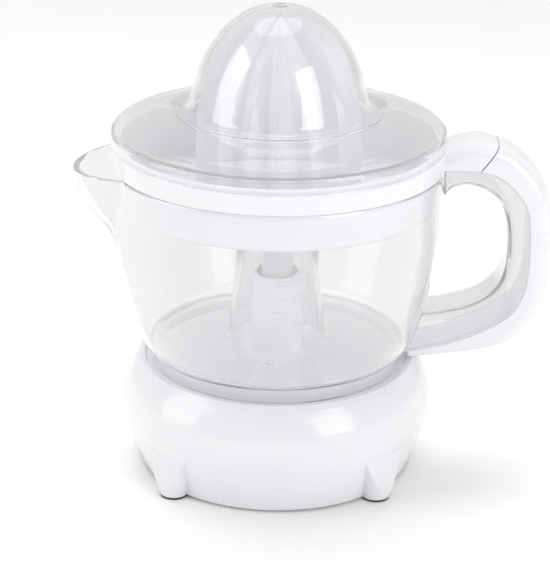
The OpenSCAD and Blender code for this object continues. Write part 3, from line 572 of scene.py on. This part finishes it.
def spout_push(r, z, a):
    """Radius of the jug's wall where the spout draws it out: a rounded prow that widens upwards."""
    reach = spout_reach_at(z)
    if reach <= r:
        return r
    off = math.atan2(math.sin(a - math.pi), math.cos(a - math.pi))
    rise = min(max((z - SPOUT_FOOT_Z) / SPOUT_HEIGHT, 0), 1)
    width = math.radians(10 + 15 * rise**0.75)
    t = abs(off) / width
    if t >= 1:
        return r
    # plan outline: a round tip, full flanks and a small blend at the root
    return r + (reach - r) * math.cos(math.pi / 2 * t) ** 1.08


def jug():
    """Wall with spout, floor, skirt and the hollow column in the middle, in one revolved outline."""
    foot = FLOOR_Z
    wall_line = jug_wall_curve()
    foot_mm, bottom, skirt_r, column_r = foot / MM, JUG_Z / MM, SKIRT_R / MM, COLUMN_R / MM
    column_top, column_edge = STRAINER_Z / MM - 1.4, STRAINER_Z / MM - 1.9
    skirt = [(skirt_r, bottom + 0.4), (skirt_r, foot_mm - 2.6)]
    skirt += [(skirt_r + 0.5, foot_mm - 0.9), (skirt_r + 1.6, foot_mm - 0.1)]
    outer = [Vector(p) for p in mm(skirt)] + wall_line
    outer[-1] = Vector((outer[-1].x, RIM_Z - 0.5 * MM))
    rim = [Vector((JUG_R - 0.35 * MM, RIM_Z)), Vector((JUG_R - WALL + 0.35 * MM, RIM_Z))]
    inner = [Vector((p.x - WALL, p.y)) for p in wall_line if p.y > foot + 2.6 * MM]
    inner[-1] = Vector((JUG_R - WALL, RIM_Z - 0.5 * MM))
    fillet = [(56.0, foot_mm + 1.3), (54.6, foot_mm + 0.3), (52.6, foot_mm)]
    column = [(24.5, foot_mm), (22.2, foot_mm + 0.8), (20.9, foot_mm + 2.4), (20.4, foot_mm + 5)]
    column += [(19.6, 72), (18.2, 80), (column_r, 87), (column_r, column_edge)]
    column += [(column_r - 0.4, column_top), (column_r - 1.8, column_top), (column_r - 2.2, column_edge)]
    bore = [(column_r - 2.2, 87), (15.9, 80), (17.4, 72), (18.2, foot_mm + 5)]
    bore += [(18.7, foot_mm + 1.5), (20.4, foot_mm - 1.2), (23.4, foot_mm - 2.2)]
    under = [(skirt_r - 2.6, foot_mm - 2.2), (skirt_r - 2.2, foot_mm - 2.6)]
    under += [(skirt_r - 2.2, bottom), (skirt_r - 0.4, bottom)]
    loop = outer + rim + inner[::-1] + [Vector(p) for p in mm(fillet + column + bore + under)]
    first_inner = len(outer) + len(rim)
    last_inner = first_inner + len(inner)

    def dip(z, a):
        """The spout's rim falls a little towards its tip."""
        share = (spout_push(JUG_R, RIM_Z, a) - JUG_R) / (SPOUT_REACH - JUG_R)
        return z - SPOUT_DIP * share * max(0.0, 1 - (RIM_Z - z) / (9 * MM))

    def shape(r, z, a, i):
        if i < len(outer):
            return spout_push(r, z, a), dip(z, a)
        if i < first_inner:
            edge = spout_push(JUG_R, RIM_Z, a)
            return r + edge - JUG_R, dip(z, a)
        if i < last_inner:
            out = spout_push(r + WALL, z - 1.2 * MM if z < RIM_Z - 2 * MM else z, a)
            return r + max(0.0, out - r - WALL) * 0.975, dip(z, a)
        return r, z

    return revolve("jug_clear", [tuple(p) for p in loop], 288, shape, smooth_angle=40)


# ---------------------------------------------------------------- handle


# outline of the finger gap, seen from the front
WINDOW = [(68.0, 121.0), (70.4, 125.0), (74.5, 127.2), (79.5, 127.3), (86.5, 124.8), (92.2, 119.4)]
WINDOW += [(95.3, 110), (96.0, 97), (94.2, 86.5), (89.6, 79.6), (82.5, 75.2), (73.5, 72.4), (60.8, 70.0)]
# back edge of the clear channel
SEAM = [(67.9, 133.4), (73.0, 133.6), (79.5, 133.6), (86.7, 132.8), (93.9, 129.0), (100.0, 122.4)]
SEAM += [(103.6, 114.5), (104.7, 99), (103.8, 83), (98.6, 71.6), (88.3, 64.3), (73.2, 58.0), (54.5, 53.5)]
# front edge and back of the white cover
COVER_SEAM = [(83.3, 134.0), (88.8, 132.4), (94.1, 129.2), (100.2, 122.6), (103.8, 114.6), (104.9, 99)]
COVER_SEAM += [(104.0, 83), (98.8, 71.4), (88.4, 64.05), (73.3, 57.75), (56.0, 53.6)]
COVER_BACK = [(90.8, 143.9), (96.6, 141.7), (103.2, 136.4), (109.6, 129.0), (113.4, 117), (114.4, 99)]
COVER_BACK += [(113.4, 80), (108.2, 66.2), (97.0, 55.9), (75.5, 51.2), (56.0, 49.7)]


def handle_channel():
    """The clear channel: open at the back, with round corners along the finger gap."""
    half = HANDLE_W / 2 - 0.15 * MM
    wall, corner = 2.2 * MM, 4.2 * MM
    section = [(half, 1, 0.0)]
    section += [
        (half - corner + corner * math.cos(t), 0, corner - corner * math.sin(t))
        for t in [math.pi / 2 * i / 7 for i in range(8)]
    ]
    section += [(-y, share, offset) for y, share, offset in section[::-1]]
    inner_corner = corner - wall
    inner = [(half - wall, 1, 0.0)]
    inner += [
        (half - corner + inner_corner * math.cos(t), 0, corner - inner_corner * math.sin(t))
        for t in [math.pi / 2 * i / 5 for i in range(6)]
    ]
    inner += [(-y, share, offset) for y, share, offset in inner[::-1]]
    window, seam = curve(mm(WINDOW), 6), curve(mm(SEAM), 6)
    sections = [across(section + inner[::-1], w, s) for w, s in zip(window, seam)]
    return section_loft("channel", sections, smooth_angle=40)


def handle_cover():
    """The white back of the handle, a tube-like shell with well rounded shoulders."""
    seam, back = curve(mm(COVER_SEAM), 7), curve(mm(COVER_BACK), 7)
    sections = [across(rounded_back(b - a), a, b) for a, b in zip(seam, back)]
    obj = section_loft("handle_cover_white", sections, smooth_angle=38)
    return piece(obj, "jug", "white_gloss", "handle_cover")


# ---------------------------------------------------------------- marks on the jug


def mark_text(body, height, place, angle, radius):
    """Raised figures wrapped round a cylinder; the angle is in degrees from +X."""
    data = bpy.data.curves.new("figures", "FONT")
    data.body = body
    data.size = height / 0.7
    data.extrude = 0.14 * MM
    data.align_x = "LEFT"
    data.resolution_u = 3
    text = bpy.data.objects.new("figures", data)
    bpy.context.scene.collection.objects.link(text)
    bpy.context.view_layer.update()
    mesh = bpy.data.meshes.new_from_object(text.evaluated_get(bpy.context.evaluated_depsgraph_get()))
    bpy.data.objects.remove(text)
    verts = []
    for v in mesh.vertices:
        a = math.radians(angle) + v.co.x / radius
        r = radius + v.co.z + 0.02 * MM
        verts.append((r * math.cos(a), r * math.sin(a), place + v.co.y))
    faces = [tuple(p.vertices) for p in mesh.polygons]
    return verts, faces


def arc_bar(radius, place, a0, a1, thick, steps=10):
    """A raised line round a cylinder, between two angles in degrees."""
    verts, faces = [], []
    inner, outer = radius - 0.12 * MM, radius + 0.16 * MM
    bottom, top = place - thick / 2, place + thick / 2
    for i in range(steps + 1):
        a = math.radians(a0 + (a1 - a0) * i / steps)
        for r, z in ((inner, bottom), (outer, bottom), (outer, top), (inner, top)):
            verts.append((r * math.cos(a), r * math.sin(a), z))
    for i in range(steps):
        for k in range(4):
            a, b = i * 4 + k, i * 4 + (k + 1) % 4
            faces.append((a, b, b + 4, a + 4))
    faces += [(3, 2, 1, 0), tuple(range(4 * steps, 4 * steps + 4))]
    return verts, faces


def scale_marks():
    """A moulded volume scale on the front of the jug's column: lines and figures only."""
    verts, faces = [], []

    def add(part):
        base = len(verts)
        verts.extend(part[0])
        faces.extend(tuple(base + i for i in f) for f in part[1])

    def radius_at(z):
        line = [(20.4, 60.4), (19.6, 72), (18.2, 80), (17.6, 87), (17.6, 120)]
        for (r0, z0), (r1, z1) in zip(line, line[1:]):
            if z <= z1:
                return (r0 + (r1 - r0) * (z - z0) / (z1 - z0)) * MM
        return COLUMN_R

    scale = [(68.4, "100"), (73.9, None), (79.4, "200"), (85, None)]
    scale += [(90.5, "300"), (96, None), (101.5, "400")]
    for z, figure in scale:
        add(arc_bar(radius_at(z), z * MM, -97 if figure else -94, -77, 0.32 * MM))
        if figure:
            add(mark_text(figure, 2.9 * MM, (z - 1.4) * MM, -71, radius_at(z) + 0.02 * MM))
    obj = new_object("scale_marks", verts, faces, 30)
    return piece(obj, "jug", "clear_plastic")


def floor_gate():
    """The mould's gate mark on the jug's floor: a low ring."""
    z0, z1 = FLOOR_Z - 0.1 * MM, FLOOR_Z + 0.5 * MM
    ring = [(1.3 * MM, z0), (1.9 * MM, z0), (1.8 * MM, z1), (1.4 * MM, z1)]
    obj = revolve("gate_mark", ring, 32)
    for v in obj.data.vertices:
        v.co.x += -2.6 * MM
        v.co.y += -29 * MM
    return piece(obj, "jug", "clear_plastic")


jug_object = jug()
boolean(jug_object, handle_channel(), "UNION")
piece(jug_object, "jug", "clear_plastic", "jug")
handle_cover()
scale_marks()
floor_gate()
dust_cover()
reamer()
strainer()

# ---------------------------------------------------------------- stage, lights and camera


FLOOR_SIZE = 9.0
BEND_Y = 1.2
BEND_R = 0.8
BACK_HIGH = 2.6


def stage():
    """A pale floor that bends up into a wall at the back."""
    rows = [(-FLOOR_SIZE, 0.0), (BEND_Y, 0.0)]
    bend = [math.pi / 2 * i / 12 for i in range(1, 13)]
    rows += [(BEND_Y + BEND_R * math.sin(t), BEND_R - BEND_R * math.cos(t)) for t in bend]
    rows.append((BEND_Y + BEND_R, BACK_HIGH))
    verts, faces = [], []
    for y, z in rows:
        verts += [(-FLOOR_SIZE, y, z), (FLOOR_SIZE, y, z)]
    for i in range(len(rows) - 1):
        faces.append((2 * i, 2 * i + 1, 2 * i + 3, 2 * i + 2))
    floor = new_object("floor", verts, faces, 60)
    mat, _, shader = nodes_of("pale_floor")
    shader.inputs["Base Color"].default_value = (0.97, 0.97, 0.97, 1)
    shader.inputs["Roughness"].default_value = 0.9
    shader.inputs["Specular IOR Level"].default_value = 0.1
    floor.data.materials.append(mat)


WORLD_STRENGTH = 0.51
SUN_ENERGY = 1.68
SUN_WIDTH = 52
SUN_TILT = (-22, -3, 0)
AIM_Z = 0.1
SOFTBOX_DISTANCE = 1.5


def softbox(name, place, size, energy):
    """A rectangular light of the given size, aimed at the middle of the object."""
    data = bpy.data.lights.new(name, "AREA")
    data.shape = "RECTANGLE"
    data.size, data.size_y = size
    data.energy = energy
    lamp = bpy.data.objects.new(name, data)
    lamp.location = place
    lamp.rotation_euler = (Vector((0, 0, AIM_Z)) - Vector(place)).to_track_quat("-Z", "Y").to_euler()
    bpy.context.scene.collection.objects.link(lamp)


def place_round(azimuth, elevation):
    """A softbox's place round the object; azimuth 0 is in front and 90 on the handle's side."""
    a, e = math.radians(azimuth), math.radians(elevation)
    return (
        SOFTBOX_DISTANCE * math.cos(e) * math.sin(a),
        -SOFTBOX_DISTANCE * math.cos(e) * math.cos(a),
        AIM_Z + SOFTBOX_DISTANCE * math.sin(e),
    )


def lights():
    world = bpy.data.worlds.new("studio")
    world.use_nodes = True
    background = world.node_tree.nodes["Background"]
    background.inputs["Color"].default_value = (1.0, 1.0, 1.0, 1)
    background.inputs["Strength"].default_value = WORLD_STRENGTH
    bpy.context.scene.world = world
    # a wide soft light from overhead, which evens out the floor
    data = bpy.data.lights.new("overhead", "SUN")
    data.energy = SUN_ENERGY
    data.angle = math.radians(SUN_WIDTH)
    sun = bpy.data.objects.new("overhead", data)
    sun.rotation_euler = [math.radians(t) for t in SUN_TILT]
    sun.visible_glossy = False
    bpy.context.scene.collection.objects.link(sun)
    softbox("key", place_round(44, 22), (0.72, 1.2), 7.5)
    softbox("fill", place_round(-76, 24), (0.8, 1.3), 6.5)


CAMERA_AZIMUTH = 0.0
CAMERA_ELEVATION = 23.13
CAMERA_DISTANCE = 0.878
CAMERA_ROLL = 0.69
CAMERA_LENS = 125.3
CAMERA_SHIFT = (-0.0027, 0.0713)


def camera():
    data = bpy.data.cameras.new("camera")
    data.lens = CAMERA_LENS
    data.sensor_width = 36
    data.shift_x, data.shift_y = CAMERA_SHIFT
    cam = bpy.data.objects.new("camera", data)
    target = Vector((0, 0, FLOOR_Z))
    a, e = math.radians(CAMERA_AZIMUTH), math.radians(CAMERA_ELEVATION)
    away = Vector((-math.sin(a) * math.cos(e), -math.cos(a) * math.cos(e), math.sin(e)))
    cam.location = target + CAMERA_DISTANCE * away
    turn = (-away).to_track_quat("-Z", "Y").to_matrix().to_4x4()
    roll = Matrix.Rotation(math.radians(CAMERA_ROLL), 4, "Z")
    cam.matrix_world = Matrix.Translation(cam.location) @ (turn @ roll)
    bpy.context.scene.collection.objects.link(cam)
    bpy.context.scene.camera = cam


stage()
lights()
camera()
bpy.context.scene.view_settings.view_transform = "Standard"

bpy.context.view_layer.update()
